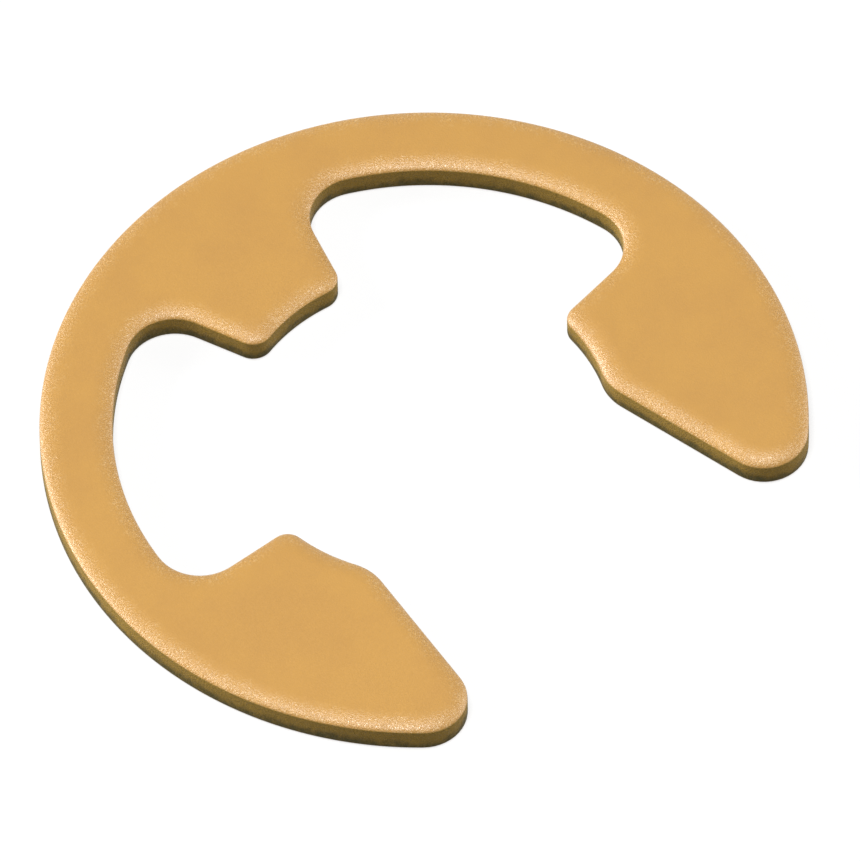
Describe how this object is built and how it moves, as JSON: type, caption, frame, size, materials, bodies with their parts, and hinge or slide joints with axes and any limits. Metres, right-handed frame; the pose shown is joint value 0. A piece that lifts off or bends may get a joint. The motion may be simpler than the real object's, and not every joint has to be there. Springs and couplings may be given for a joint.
{
  "type": "e clip",
  "caption": "Flat open retaining ring with inward prongs that snaps sideways into a shaft groove and holds parts along the shaft.",
  "frame": {"origin": "centre of the seat circle that the prong tips lie on, on the underside", "axes": "+Z along the shaft, out of the side with the rolled edge; -Y out through the opening, towards which the clip is pushed on; +X across the side prongs"},
  "size_m": [0.0182, 0.016, 0.0008],
  "materials": {
    "plated_steel": "satin yellow zinc plate, tumbled, brighter on the rolled edges"
  },
  "bodies": {
    "root": {"e_clip": "plated_steel"}
  },
  "joints": []
}
